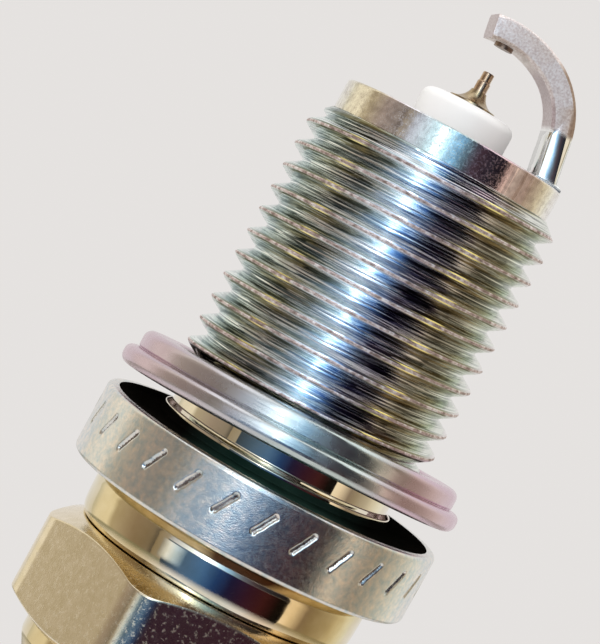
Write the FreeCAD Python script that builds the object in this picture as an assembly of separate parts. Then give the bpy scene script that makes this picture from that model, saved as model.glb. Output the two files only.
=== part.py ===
import FreeCAD, Part
import math
import os
from FreeCAD import Vector as V

# Spark plug, firing end up. Origin: centre of the collar's seat face. +Z points to the firing end.
# Millimetres.

os.makedirs("parts", exist_ok=True)

# ---- named dimensions ---------------------------------------------------------------------------

# thread M14 x 1.25
thread_major_r = 6.95
thread_pitch = 1.25
thread_depth = 0.767
thread_crest_flat = 0.16
thread_flank_deg = 30.0
thread_phase_z = 0.55          # height of the crest line where it crosses +X, modulo the pitch
thread_root_r = thread_major_r - thread_depth
thread_foot_z = 2.95           # end of the run-out towards the seat
thread_lead_gap = 0.05         # from the end of the other run-out to the land
thread_runout = 0.7
trim_margin = 2.0              # how far the tools that cut the run-outs reach past the thread

# metal shell
reach = 19.0                   # seat face to shell end
land_r = 6.05
land_length = 1.6
land_chamfer = 0.15
neck_r = 6.15
seat_step_r = 6.45
seat_step_h = 0.5
collar_h = 3.75
collar_round = 0.35
groove_wall = 0.95             # wall at the groove, outside the packing bore
groove_h = 0.55
bulge_r = 7.68
hex_top_z = -6.45
hex_h = 5.75
hex_across_flats = 16.0
hex_corner_round = 2.1
hex_chamfer_r = 7.45
hex_corner_deg = -107.0
crimp_wall = 1.35              # wall round the crimped end
crimp_neck_h = 0.7
crimp_h = 2.9
crimp_shoulder_h = 1.35        # from the neck to where the bent wall turns in
crimp_shoulder_in = 0.6
crimp_lip_h = 0.95

# shell bore
packing_room = 0.8             # between the insulator's head and the packing bore
bore_step_z = -2.9
bore_step_h = 0.7
ledge_z = 5.4
ledge_r = 3.75
ledge_width = 0.67             # seat of the insulator, from the ledge bore to the middle bore
ledge_length = 2.2
front_bore_r = 4.25

# insulator
insulator_clearance = 0.1
head_r = 5.2
head_end_z = -42.2
head_end_r = 4.15
rib_count = 5
rib_pitch = 2.9
rib_first_z = -24.6
rib_waist_r = 4.5
nose_r = 2.55
nose_projection = 1.7          # beyond the shell end
nose_round = 0.5
nose_straight = 4.2
flange_rear_z = -10.0
seat_slope = 0.8               # rise over run of the conical seat
wire_bore_r = 1.3
rear_bore_r = 1.95
rear_bore_z = 2.6

# packing
packing_t = 0.5
ring_h = 0.7
talc_h = 2.0
packing_gap = 0.02

# centre electrode
electrode_r = 1.25
electrode_head_r = 1.75
electrode_head_h = 1.1
cone_foot_h = 0.15             # straight stretch that stands out of the nose
cone_h = 0.7
cone_top_r = 0.42
core_r = 0.65
core_setback = 1.9             # from the nose end back to the core's end
tip_r = 0.3
tip_weld_r = 0.35
tip_weld_h = 0.5
tip_length = 1.05
tip_root_depth = 0.5

# seals and resistor
lower_seal_h = 3.4
resistor_h = 10.0
upper_seal_h = 4.2

# terminal stud M4 and its nut
stud_r = 1.6
stud_grip_depth = 2.6
stud_grip_r = 1.75
stud_grip_setback = 1.2        # from the glass's end to the last groove
stud_grip_pitch = 0.6
stud_flange_r = 2.7
stud_flange_t = 0.5
stud_thread_r = 1.97
stud_thread_pitch = 0.7
stud_thread_depth = 0.43
stud_end_z = -48.9
nut_r = 3.175
nut_end_z = -50.5
nut_waist_r = 2.65
nut_head_h = 2.9
nut_waist_h = 2.0
nut_slope_h = 0.6
nut_round = 0.7
nut_fit = 0.06                 # running clearance over the stud's crests
nut_seat_gap = 0.1

# ground electrode
earth_width = 2.55
earth_t = 1.22
earth_turn_deg = 9.3           # its plane, turned from +X about +Z
earth_knee_inset = 1.48        # centre line at the knee, inwards from the land's side
earth_knee_h = 2.3             # from the shell end to the start of the bend
earth_lean_deg = 9.7
earth_bend_r = 4.0
earth_bend_deg = 53.3
earth_arch_r = 5.6
earth_arch_deg = 37.0
earth_edge = 0.16
weld_h = 0.26                  # weld flash round the bar's foot
weld_out = 0.26
weld_side = 0.14
pad_r = 0.5
pad_proud = 0.22
pad_sink = 0.2

# gasket, one strip folded to four layers
gasket_sheet = 0.36
gasket_h = 2.05
gasket_width = 2.3             # bore to the edge of the lower fold
gasket_lower_proud = 0.1       # lower fold, outside the collar's side
gasket_upper_shy = 0.47        # upper fold, inside the collar's side
gasket_thread_gap = 0.25
gasket_nib_gap = 0.11          # nibs to the seat step
gasket_nib_count = 3
gasket_nib_width = 2.4
gasket_rest_z = 1.2
gasket_tip_deg = 3.7           # raised towards -Y
gasket_roll_deg = 0.85         # raised towards +X


# ---- helpers ------------------------------------------------------------------------------------

def save(node, shape):
    if shape.ShapeType != "Solid" and len(shape.Solids) == 1:
        shape = shape.Solids[0]
    shape.exportStep("parts/" + node + ".step")
    box = shape.BoundBox
    print(node, shape.isValid(), len(shape.Solids), round(shape.Volume, 3),
          round(box.ZMin, 2), round(box.ZMax, 2))


def lathe(points):
    """Closed outline of (r, z) corners, turned about the plug's axis."""
    loop = [V(r, 0, z) for r, z in points]
    face = Part.Face(Part.makePolygon(loop + loop[:1]))
    return face.revolve(V(0, 0, 0), V(0, 0, 1), 360)


def lathe_edges(edges):
    face = Part.Face(Part.Wire(Part.__sortEdges__(edges)))
    return face.revolve(V(0, 0, 0), V(0, 0, 1), 360)


def line(a, b):
    return Part.makeLine(V(a[0], 0, a[1]), V(b[0], 0, b[1]))


def arc(a, mid, b):
    return Part.Arc(V(a[0], 0, a[1]), V(mid[0], 0, mid[1]), V(b[0], 0, b[1])).toShape()


def tube(inner, outer, z0, z1):
    return lathe([(inner, z0), (outer, z0), (outer, z1), (inner, z1)])


def thread_ridge(major, depth, pitch, crest, start_z, turns):
    """One continuous helical ridge; its foot sinks a little below the root."""
    sink = 0.1
    slope = math.tan(math.radians(thread_flank_deg))
    root = major - depth
    half_top = crest / 2
    half_foot = half_top + (depth + sink) * slope
    corners = [V(root - sink, 0, start_z - half_foot), V(major, 0, start_z - half_top),
               V(major, 0, start_z + half_top), V(root - sink, 0, start_z + half_foot)]
    profile = Part.makePolygon(corners + corners[:1])
    helix = Part.makeHelix(pitch, pitch * turns, root)
    helix.translate(V(0, 0, start_z))
    return Part.Wire(helix.Edges).makePipeShell([profile], True, True)


def round_corner(shape, radius, test):
    edges = [e for e in shape.Edges if test(e)]
    return shape.makeFillet(radius, edges)


def circle_at(edge, r, z):
    curve = edge.Curve
    return (isinstance(curve, Part.Circle) and abs(curve.Radius - r) < 0.01
            and abs(curve.Center.z - z) < 0.01)


# ---- derived places -----------------------------------------------------------------------------

bore_r = head_r + packing_room
mid_bore_r = ledge_r + ledge_width
groove_r = bore_r + groove_wall
crimp_r = bore_r + crimp_wall
thread_lead_z = reach - land_length - thread_lead_gap
nose_end_z = reach + nose_projection
cone_base_z = nose_end_z + cone_foot_h
cone_top_z = cone_base_z + cone_h
core_end_z = nose_end_z - core_setback
tip_end_z = cone_top_z + tip_length
earth_knee_x = land_r - earth_knee_inset
earth_knee_z = reach + earth_knee_h
gasket_inner_r = thread_major_r + gasket_thread_gap
gasket_lower_r = gasket_inner_r + gasket_width
collar_r = gasket_lower_r - gasket_lower_proud
gasket_upper_r = collar_r - gasket_upper_shy
gasket_nib_r = seat_step_r + gasket_nib_gap
hex_foot_z = hex_top_z - hex_h
crimp_end_z = hex_foot_z - crimp_h
bulge_z = (hex_top_z - collar_h - groove_h) / 2
mid_body_r = mid_bore_r - insulator_clearance
flange_r = bore_r - insulator_clearance
ledge_low_z = ledge_z + (mid_bore_r - ledge_r) * seat_slope
ledge_end_z = ledge_low_z + ledge_length
seat_low_z = ledge_z - packing_t
flange_front_z = bore_step_z - 0.35
flange_rear_drop = (flange_r - head_r) * seat_slope
ring_low_z = flange_rear_z - flange_rear_drop - 0.05
ring_end_z = ring_low_z - ring_h
talc_end_z = ring_end_z - talc_h
seal_low_z = rear_bore_z - electrode_head_h
resistor_z = seal_low_z - lower_seal_h
upper_seal_z = resistor_z - resistor_h
upper_seal_end_z = upper_seal_z - upper_seal_h
stud_tip_z = upper_seal_end_z + stud_grip_depth
stud_shoulder_z = head_end_z - stud_flange_t
nut_face_z = stud_shoulder_z - nut_seat_gap
nut_bore_r = stud_thread_r + nut_fit
lip_r = head_r + 0.15
lip_face_z = crimp_end_z + crimp_lip_h
lip_root_z = lip_face_z + 0.55


# ---- metal shell --------------------------------------------------------------------------------

def make_shell():
    outer = [
        (0, reach),
        (land_r - land_chamfer, reach),
        (land_r, reach - land_chamfer),
        (land_r, reach - land_length),
        (thread_root_r, reach - land_length - 0.1),
        (thread_root_r, thread_foot_z),
        (neck_r, thread_foot_z - 0.1),
        (neck_r, seat_step_h + 0.2),
        (seat_step_r, seat_step_h),
        (seat_step_r, 0),
        (collar_r, 0),
        (collar_r, -collar_h),
        (groove_r, -collar_h),
        (groove_r, hex_top_z),
        (crimp_r, hex_top_z - 0.3),
        (crimp_r, hex_foot_z - crimp_neck_h),
    ]
    edges = [line(a, b) for a, b in zip(outer, outer[1:])]
    shoulder = (crimp_r - crimp_shoulder_in, hex_foot_z - crimp_neck_h - crimp_shoulder_h)
    edges.append(arc(outer[-1], shoulder, (lip_r + 0.2, crimp_end_z)))
    edges.append(line((lip_r + 0.2, crimp_end_z), (lip_r, crimp_end_z + 0.2)))
    edges.append(line((lip_r, crimp_end_z + 0.2), (0, crimp_end_z + 0.2)))
    edges.append(line((0, crimp_end_z + 0.2), (0, reach)))
    body = lathe_edges(edges)
    body = round_corner(body, collar_round,
                        lambda e: circle_at(e, collar_r, 0) or circle_at(e, collar_r, -collar_h))

    # buckled ring between collar and hexagon
    low = (groove_r - 0.3, hex_top_z)
    high = (groove_r - 0.3, -collar_h - groove_h + 0.15)
    bulge = lathe_edges([arc(low, (bulge_r, bulge_z), high), line(high, low)])

    # hexagon with rounded corners, chamfered 30 degrees at both ends
    corner_r = hex_across_flats / 2 / math.cos(math.radians(30))
    corners = []
    for k in range(6):
        angle = math.radians(hex_corner_deg + 60 * k)
        corners.append(V(corner_r * math.cos(angle), corner_r * math.sin(angle), hex_foot_z))
    prism = Part.Face(Part.makePolygon(corners + corners[:1])).extrude(V(0, 0, hex_h))
    prism = round_corner(prism, hex_corner_round,
                         lambda e: abs(e.BoundBox.ZLength - hex_h) < 0.01)
    reach_r = corner_r + 0.5
    drop = (reach_r - hex_chamfer_r) * math.tan(math.radians(30))
    envelope = lathe([(0, hex_foot_z), (hex_chamfer_r, hex_foot_z), (reach_r, hex_foot_z + drop),
                      (reach_r, hex_top_z - drop), (hex_chamfer_r, hex_top_z), (0, hex_top_z)])
    hexagon = prism.common(envelope)

    # helical thread with run-outs at both ends
    first = thread_phase_z + thread_pitch
    turns = math.ceil((thread_lead_z - first) / thread_pitch)
    ridge = thread_ridge(thread_major_r, thread_depth, thread_pitch, thread_crest_flat, first, turns)
    threaded = Part.makeCylinder(thread_root_r, reach, V(0, 0, 0)).fuse(ridge)
    over_r = thread_major_r + trim_margin
    far = over_r + trim_margin
    runout = thread_runout * (over_r - thread_root_r) / thread_depth
    lead_r = thread_root_r - 0.15
    lead_z = thread_lead_z - runout
    threaded = threaded.cut(lathe([
        (lead_r, reach + trim_margin), (lead_r, thread_lead_z), (thread_root_r, thread_lead_z),
        (over_r, lead_z), (far, lead_z), (far, reach + trim_margin)]))
    foot_r = thread_root_r - 0.05
    foot_z = thread_foot_z + runout
    threaded = threaded.cut(lathe([
        (foot_r, -trim_margin), (far, -trim_margin), (far, foot_z), (over_r, foot_z),
        (thread_root_r, thread_foot_z), (foot_r, thread_foot_z)]))

    body = body.fuse([bulge, hexagon])
    body = body.fuse(threaded)

    # stepped bore, from the crimped lip to the firing end
    bore = lathe([
        (0, crimp_end_z - 1), (lip_r, crimp_end_z - 1), (lip_r, lip_face_z), (bore_r, lip_root_z),
        (bore_r, bore_step_z), (mid_bore_r, bore_step_z + bore_step_h), (mid_bore_r, ledge_z),
        (ledge_r, ledge_low_z), (ledge_r, ledge_end_z),
        (front_bore_r, ledge_end_z + 0.5), (front_bore_r, reach + 1), (0, reach + 1)])
    return body.cut(bore)


# ---- insulator and everything packed round it ---------------------------------------------------

def make_insulator():
    slim_r = ledge_r - 0.2
    slim_z = seat_low_z + (mid_body_r - slim_r) * seat_slope
    outline = [
        (wire_bore_r, nose_end_z),
        (nose_r, nose_end_z),
        (nose_r, nose_end_z - nose_straight),
        (slim_r - 0.25, ledge_end_z),
        (slim_r, slim_z),
        (mid_body_r, seat_low_z),
        (mid_body_r, flange_front_z + bore_step_h),
        (flange_r, flange_front_z - 0.2),
        (flange_r, flange_rear_z),
        (head_r, flange_rear_z - flange_rear_drop),
    ]
    waist = rib_pitch / 2
    for k in range(rib_count):
        z = rib_first_z - k * rib_pitch
        outline.append((head_r, z + 0.35 if k else z + waist))
        outline.append((head_r, z - 0.35))
        outline.append((rib_waist_r, z - waist + 0.35))
        outline.append((rib_waist_r, z - waist - 0.2))
    outline.append((head_end_r + 0.2, head_end_z + 0.4))
    outline.append((head_end_r - 0.2, head_end_z))
    outline.append((rear_bore_r, head_end_z))
    outline.append((rear_bore_r, rear_bore_z))
    outline.append((wire_bore_r, rear_bore_z + 0.5))
    body = lathe(outline)
    return round_corner(body, nose_round, lambda e: circle_at(e, nose_r, nose_end_z))


def make_packing():
    inner = head_r + packing_gap
    outer = bore_r - packing_gap
    parts = {}
    slim = ledge_r + 0.03
    wide = mid_body_r - 0.02
    parts["lower_packing_ring"] = lathe([
        (wide, seat_low_z + (mid_body_r - wide) * seat_slope + packing_gap),
        (wide, ledge_z + (mid_bore_r - wide) * seat_slope - packing_gap),
        (slim, ledge_z + (mid_bore_r - slim) * seat_slope - packing_gap),
        (slim, seat_low_z + (mid_body_r - slim) * seat_slope + packing_gap)])
    rise = (outer - inner) * seat_slope
    parts["rear_packing_ring"] = lathe([
        (inner, ring_low_z), (outer, ring_low_z + rise), (outer, ring_end_z), (inner, ring_end_z)])
    parts["talc_ring"] = tube(inner, outer, talc_end_z, ring_end_z)
    parts["crimp_packing_ring"] = lathe([
        (inner, talc_end_z), (outer, talc_end_z), (outer, lip_root_z + packing_gap),
        (lip_r, lip_face_z + packing_gap), (inner, lip_face_z + packing_gap)])
    return parts


# ---- centre electrode ---------------------------------------------------------------------------

def make_centre_electrode():
    head_z = rear_bore_z - electrode_head_h
    a = (electrode_r, cone_base_z)
    b = (cone_top_r, cone_top_z)
    mid = ((a[0] + b[0]) / 2 - 0.13, (a[1] + b[1]) / 2 - 0.13)
    body = lathe_edges([
        line((0, cone_top_z), b),
        arc(b, mid, a),
        line(a, (electrode_r, rear_bore_z + 0.5)),
        line((electrode_r, rear_bore_z + 0.5), (electrode_head_r, rear_bore_z)),
        line((electrode_head_r, rear_bore_z), (electrode_head_r, head_z)),
        line((electrode_head_r, head_z), (0, head_z)),
        line((0, head_z), (0, cone_top_z))])
    core = rod(core_r, head_z, core_end_z)
    tip = lathe([(0, cone_top_z - tip_root_depth), (tip_r, cone_top_z - tip_root_depth),
                 (tip_weld_r, cone_top_z), (tip_weld_r, cone_top_z + tip_weld_h),
                 (tip_r, cone_top_z + tip_weld_h + 0.08), (tip_r, tip_end_z - 0.04),
                 (tip_r - 0.04, tip_end_z), (0, tip_end_z)])
    return body.cut(core).cut(tip), core, tip


def rod(r, z0, z1):
    return lathe([(0, z0), (r, z0), (r, z1), (0, z1)])


def make_seals(stud):
    lower = rod(rear_bore_r, resistor_z, seal_low_z)
    resistor = rod(rear_bore_r, upper_seal_z, resistor_z)
    upper = rod(rear_bore_r, upper_seal_end_z, upper_seal_z)
    return lower, resistor, upper.cut(stud)


# ---- terminal -----------------------------------------------------------------------------------

def make_stud():
    outline = [(0, stud_tip_z), (stud_r - 0.3, stud_tip_z)]
    grip_end = upper_seal_end_z - stud_grip_setback
    z = stud_tip_z - 0.3
    while z - stud_grip_pitch > grip_end:
        outline.append((stud_grip_r, z))
        outline.append((stud_grip_r, z - stud_grip_pitch * 0.4))
        outline.append((stud_r, z - stud_grip_pitch * 0.6))
        outline.append((stud_r, z - stud_grip_pitch * 0.85))
        z -= stud_grip_pitch
    root = stud_thread_r - stud_thread_depth
    outline += [(stud_r, head_end_z), (stud_flange_r, head_end_z), (stud_flange_r, stud_shoulder_z),
                (root, stud_shoulder_z), (root, stud_end_z + 0.2), (root - 0.3, stud_end_z), (0, stud_end_z)]
    shank = lathe(outline)
    start = stud_end_z + 0.25
    turns = math.floor((stud_shoulder_z - 0.5 - start) / stud_thread_pitch)
    ridge = thread_ridge(stud_thread_r, stud_thread_depth, stud_thread_pitch, 0.09, start, turns)
    end = tube(root - 0.2, stud_thread_r + 1, stud_end_z - 1, stud_end_z)
    return shank.fuse(ridge.cut(end))


def make_nut():
    z = nut_end_z
    head = z + nut_head_h
    waist = head + nut_slope_h
    skirt = waist + nut_waist_h
    body = lathe([(0, z), (nut_r, z), (nut_r, head), (nut_waist_r, waist), (nut_waist_r, skirt),
                  (nut_r, skirt + nut_slope_h), (nut_r, nut_face_z), (0, nut_face_z)])
    body = round_corner(body, nut_round, lambda e: circle_at(e, nut_r, z))
    hole = lathe([(0, stud_end_z - 0.3), (nut_bore_r, stud_end_z - 0.3), (nut_bore_r, nut_face_z - 0.4),
                  (nut_bore_r + 0.4, nut_face_z), (nut_bore_r + 0.4, nut_face_z + 1), (0, nut_face_z + 1)])
    return body.cut(hole)


# ---- ground electrode ---------------------------------------------------------------------------

def make_ground_electrode():
    def heading(deg):
        return V(math.cos(math.radians(deg)), 0, math.sin(math.radians(deg)))

    def left(deg):
        return V(-math.sin(math.radians(deg)), 0, math.cos(math.radians(deg)))

    start_deg = 90 + earth_lean_deg
    bend_end_deg = start_deg + earth_bend_deg
    end_deg = bend_end_deg + earth_arch_deg
    knee = V(earth_knee_x, 0, earth_knee_z)
    foot = knee - heading(start_deg) * (earth_knee_h + earth_t)
    bend_centre = knee + left(start_deg) * earth_bend_r
    bend_end = bend_centre - left(bend_end_deg) * earth_bend_r
    arch_centre = bend_end + left(bend_end_deg) * earth_arch_r
    half = earth_t / 2
    rails = []
    for side in (-half, half):
        def at(centre, radius, deg, side=side):
            return centre - left(deg) * (radius - side)
        foot_s = foot + left(start_deg) * side
        k0 = at(bend_centre, earth_bend_r, start_deg)
        k1 = at(bend_centre, earth_bend_r, (start_deg + bend_end_deg) / 2)
        k2 = at(bend_centre, earth_bend_r, bend_end_deg)
        k3 = at(arch_centre, earth_arch_r, (bend_end_deg + end_deg) / 2)
        k4 = at(arch_centre, earth_arch_r, end_deg)
        rails.append((foot_s, k4, [Part.makeLine(foot_s, k0), Part.Arc(k0, k1, k2).toShape(),
                                   Part.Arc(k2, k3, k4).toShape()]))
    caps = [Part.makeLine(rails[0][0], rails[1][0]), Part.makeLine(rails[0][1], rails[1][1])]
    outline = Part.Wire(Part.__sortEdges__(rails[0][2] + rails[1][2] + caps))
    bar = Part.Face(outline).extrude(V(0, earth_width, 0))
    bar.translate(V(0, -earth_width / 2, 0))
    long_edges = [e for e in bar.Edges
                  if abs(e.BoundBox.YLength) < 0.01 and e.Length > earth_t + 0.2]
    bar = bar.makeChamfer(earth_edge, long_edges)
    below = earth_knee_h + earth_t
    bar = bar.cut(Part.makeBox(2 * land_r, 2 * land_r, 2 * below, V(0, -land_r, reach - 2 * below)))
    foot_x = knee.x + earth_knee_h * math.tan(math.radians(earth_lean_deg)) - half
    flash_y = earth_width / 2 + weld_side
    flash = Part.makeBox(earth_t + weld_out, 2 * flash_y, weld_h, V(foot_x, -flash_y, reach))
    top_edges = [e for e in flash.Edges
                 if e.BoundBox.ZMin > reach + weld_h / 2 and e.BoundBox.XMax > foot_x + 0.1]
    bar = bar.fuse(flash.makeChamfer(weld_h * 0.6, top_edges)).removeSplitter()
    bar.rotate(V(0, 0, 0), V(0, 0, 1), earth_turn_deg)
    under_z = arch_centre.z + math.sqrt((earth_arch_r - half) ** 2 - arch_centre.x ** 2)
    pad = Part.makeCylinder(pad_r, pad_proud + pad_sink, V(0, 0, under_z - pad_proud))
    return bar.cut(pad), pad


# ---- gasket -------------------------------------------------------------------------------------

def make_gasket():
    step = (gasket_h - gasket_sheet) / 3
    half = gasket_sheet / 2
    levels = [half + k * step for k in range(4)]
    fold_r = step / 2
    lower_fold_x = gasket_lower_r - fold_r - half
    upper_fold_x = gasket_upper_r - fold_r - half
    inner_fold_x = gasket_inner_r + fold_r + half

    def layer(x0, x1, z):
        return lathe([(x0, z - half), (x1, z - half), (x1, z + half), (x0, z + half)])

    def fold(x, z, outward):
        sign = 1 if outward else -1
        big = fold_r + half
        small = fold_r - half
        edges = [
            arc((x, z - big), (x + sign * big, z), (x, z + big)),
            line((x, z + big), (x, z + small)),
            arc((x, z + small), (x + sign * small, z), (x, z - small)),
            line((x, z - small), (x, z - big))]
        return lathe_edges(edges)

    ring = layer(gasket_inner_r, lower_fold_x, levels[0]).fuse([
        fold(lower_fold_x, (levels[0] + levels[1]) / 2, True),
        layer(inner_fold_x, lower_fold_x, levels[1]),
        fold(inner_fold_x, (levels[1] + levels[2]) / 2, False),
        layer(inner_fold_x, upper_fold_x, levels[2]),
        fold(upper_fold_x, (levels[2] + levels[3]) / 2, True),
        layer(gasket_inner_r, upper_fold_x, levels[3])])
    # nibs that keep the gasket on the plug
    nibs = []
    for k in range(gasket_nib_count):
        nib = Part.makeBox(gasket_inner_r - gasket_nib_r + 1.0, gasket_nib_width, gasket_sheet,
                           V(gasket_nib_r - 0.5, -gasket_nib_width / 2, 0))
        nib = nib.cut(Part.makeCylinder(gasket_nib_r, 2 * gasket_h, V(0, 0, -gasket_h)))
        nib.rotate(V(0, 0, 0), V(0, 0, 1), 30 + 360 / gasket_nib_count * k)
        nibs.append(nib)
    ring = ring.fuse(nibs).removeSplitter()
    ring.rotate(V(0, 0, 0), V(1, 0, 0), -gasket_tip_deg)
    ring.rotate(V(0, 0, 0), V(0, 1, 0), -gasket_roll_deg)
    ring.translate(V(0, 0, gasket_rest_z))
    return ring


# ---- write the nodes ----------------------------------------------------------------------------

save("metal_shell", make_shell())
save("ceramic_insulator", make_insulator())
for node, shape in make_packing().items():
    save(node, shape)
sheath, copper, tip = make_centre_electrode()
save("centre_electrode", sheath)
save("centre_electrode_core", copper)
save("iridium_tip", tip)
stud = make_stud()
lower_seal, resistor, upper_seal = make_seals(stud)
save("lower_glass_seal", lower_seal)
save("resistor", resistor)
save("upper_glass_seal", upper_seal)
save("terminal_stud", stud)
save("terminal_nut", make_nut())
earth, pad = make_ground_electrode()
save("ground_electrode", earth)
save("ground_electrode_pad", pad)
save("gasket", make_gasket())
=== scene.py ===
import math

import bmesh
import bpy
import numpy as np
from mathutils import Matrix, Vector, noise


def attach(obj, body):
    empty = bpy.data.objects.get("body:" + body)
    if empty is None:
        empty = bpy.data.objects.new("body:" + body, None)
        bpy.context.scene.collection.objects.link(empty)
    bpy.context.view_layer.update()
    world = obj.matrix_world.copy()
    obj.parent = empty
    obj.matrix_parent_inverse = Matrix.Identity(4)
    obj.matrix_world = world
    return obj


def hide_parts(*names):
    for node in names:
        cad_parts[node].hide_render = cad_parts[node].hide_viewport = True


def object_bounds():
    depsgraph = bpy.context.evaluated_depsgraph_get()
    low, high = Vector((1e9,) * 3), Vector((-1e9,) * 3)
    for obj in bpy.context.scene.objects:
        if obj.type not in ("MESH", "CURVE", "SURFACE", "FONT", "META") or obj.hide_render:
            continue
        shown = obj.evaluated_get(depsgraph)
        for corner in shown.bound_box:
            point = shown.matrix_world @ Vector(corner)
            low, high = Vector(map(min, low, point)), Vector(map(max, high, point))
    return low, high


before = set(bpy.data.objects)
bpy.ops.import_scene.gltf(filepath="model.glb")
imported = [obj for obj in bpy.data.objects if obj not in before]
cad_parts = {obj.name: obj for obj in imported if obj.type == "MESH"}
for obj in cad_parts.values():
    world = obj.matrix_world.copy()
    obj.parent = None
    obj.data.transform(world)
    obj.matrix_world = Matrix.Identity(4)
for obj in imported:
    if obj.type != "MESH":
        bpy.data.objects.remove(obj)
cad_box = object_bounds()

# Plug dimensions in millimetres, as in the CAD. Origin at the collar's seat face, +Z to the firing end.
MM = 0.001
REACH = 19.0
LAND_R = 6.05
LAND_FOOT_Z = 17.4
THREAD_R = 6.93
THREAD_DEPTH = 0.75
THREAD_PITCH = 1.25
THREAD_PHASE_Z = 0.55
THREAD_FOOT_Z = 2.95
THREAD_LEAD_Z = 17.35
THREAD_RUNOUT = 0.7
ROOT_R = THREAD_R - THREAD_DEPTH
NECK_R = 6.15
SEAT_STEP_R = 6.44
SEAT_STEP_H = 0.5
COLLAR_R = 9.39
COLLAR_H = 3.75
GROOVE_R = 6.95
BULGE_R = 7.67
HEX_TOP_Z = -6.45
HEX_FOOT_Z = -12.2
HEX_HALF_WIDTH = 7.99
HEX_CORNER_ROUND = 2.1
HEX_CHAMFER_R = 7.45
HEX_CORNER_DEG = -107.0
CRIMP_R = 7.35
CRIMP_SIDE_END_Z = -13.2
CRIMP_BEND_R = 6.75
CRIMP_BEND_Z = -14.4
CRIMP_FACE_R = 5.6
CRIMP_END_Z = -15.1
FRONT_BORE_R = 4.25
FRONT_BORE_END_Z = 9.0
LEDGE_R = 3.75
LEDGE_Z = 8.1
BORE_SKIN_END_Z = 6.2          # the bore has a skin down to here
HEAD_R = 5.2
HEAD_TOP_Z = -14.4
HEAD_FOOT_R = 4.35
HEAD_FOOT_Z = -41.8
HEAD_END_R = 3.95
HEAD_END_Z = -42.2
STUD_BORE_R = 1.95
LIP_R = HEAD_R + 0.16
RIBS = 5
RIB_FIRST_Z = -24.6
RIB_PITCH = 2.9
RIB_WAIST_R = 4.5
RIB_HALF = 0.35                # half of a rib's straight side, and the round of its corners
WAIST_TOP = 1.1                # from a rib's middle down to the waist
WAIST_END = 1.65
NOSE_R = 2.55
NOSE_END_Z = 20.7
NOSE_CONE_R = 3.3
NOSE_CONE_Z = 8.0
NOSE_STRAIGHT_Z = 16.5
WIRE_BORE_R = 1.3
WIRE_BORE_SKIN_Z = 20.2
GASKET_BORE_R = 7.2
GASKET_LOWER_R = 9.485
GASKET_UPPER_R = 8.92
GASKET_SEAM_R = 8.75
GASKET_H = 2.05
GASKET_REST_Z = 1.2
GASKET_TIP_DEG = -3.7
GASKET_ROLL_DEG = -0.85
PLATED_FOOT_Z = 21.5           # the plating ends here on the ground electrode
INSET = 0.02                   # how far skins stay inside the CAD's faces


# ---- meshes -------------------------------------------------------------------------------------

def add_piece(name, verts, faces, body, material, node=None, uvs=None, sharp_deg=None):
    mesh = bpy.data.meshes.new(name)
    mesh.from_pydata([tuple(c * MM for c in v) for v in verts], [], faces)
    mesh.validate()
    mesh.polygons.foreach_set("use_smooth", [True] * len(mesh.polygons))
    if sharp_deg:
        mesh.set_sharp_from_angle(angle=math.radians(sharp_deg))
    if uvs is not None:
        layer = mesh.uv_layers.new(name="wrap")
        loops = np.empty(len(mesh.loops), dtype=np.int32)
        mesh.loops.foreach_get("vertex_index", loops)
        layer.data.foreach_set("uv", np.asarray(uvs, dtype=np.float32)[loops].ravel())
    obj = bpy.data.objects.new(name, mesh)
    bpy.context.collection.objects.link(obj)
    mesh.materials.append(material)
    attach(obj, body)
    if node:
        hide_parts(node)


def rounded(points, steps=5):
    """Corners (r, z, radius) to a smooth outline: each corner with a radius becomes an arc of steps points.
    A point just outside each arc keeps the straight stretches flat."""
    out = []
    for i, (r, z, radius) in enumerate(points):
        here = Vector((r, z))
        if radius <= 0 or i in (0, len(points) - 1):
            out.append((r, z))
            continue
        before = Vector(points[i - 1][:2]) - here
        after = Vector(points[i + 1][:2]) - here
        half = before.angle(after) / 2
        cut = min(radius / math.tan(half), 0.48 * before.length, 0.48 * after.length)
        true_radius = cut * math.tan(half)
        a = here + before.normalized() * cut
        b = here + after.normalized() * cut
        inwards = (before.normalized() + after.normalized()).normalized()
        centre = here + inwards * (true_radius / math.sin(half))
        start = math.atan2(*(a - centre).yx)
        sweep = (math.atan2(*(b - centre).yx) - start + math.pi) % (2 * math.pi) - math.pi
        out.append(tuple(a + before * 0.01))
        for k in range(steps + 1):
            t = start + sweep * k / steps
            out.append((centre.x + true_radius * math.cos(t), centre.y + true_radius * math.sin(t)))
        out.append(tuple(b + after * 0.01))
    return out


def swell_points(a, height, b, peak, powers, steps=40):
    """Points from a to b on a swell of the given height to the left of the way, highest at the share peak.
    powers are its fullness before and after the peak: 2 is an ellipse, more is squarer."""
    a, b = Vector(a), Vector(b)
    side = Vector((-(b - a).y, (b - a).x)).normalized()
    out = []
    for k in range(steps + 1):
        t = (1 - math.cos(math.pi * k / steps)) / 2
        away, power = ((peak - t) / peak, powers[0]) if t < peak else ((t - peak) / (1 - peak), powers[1])
        swell = max(0.0, 1 - away ** power) ** (1 / power)
        out.append(tuple(a.lerp(b, t) + side * height * swell))
    return out


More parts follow.
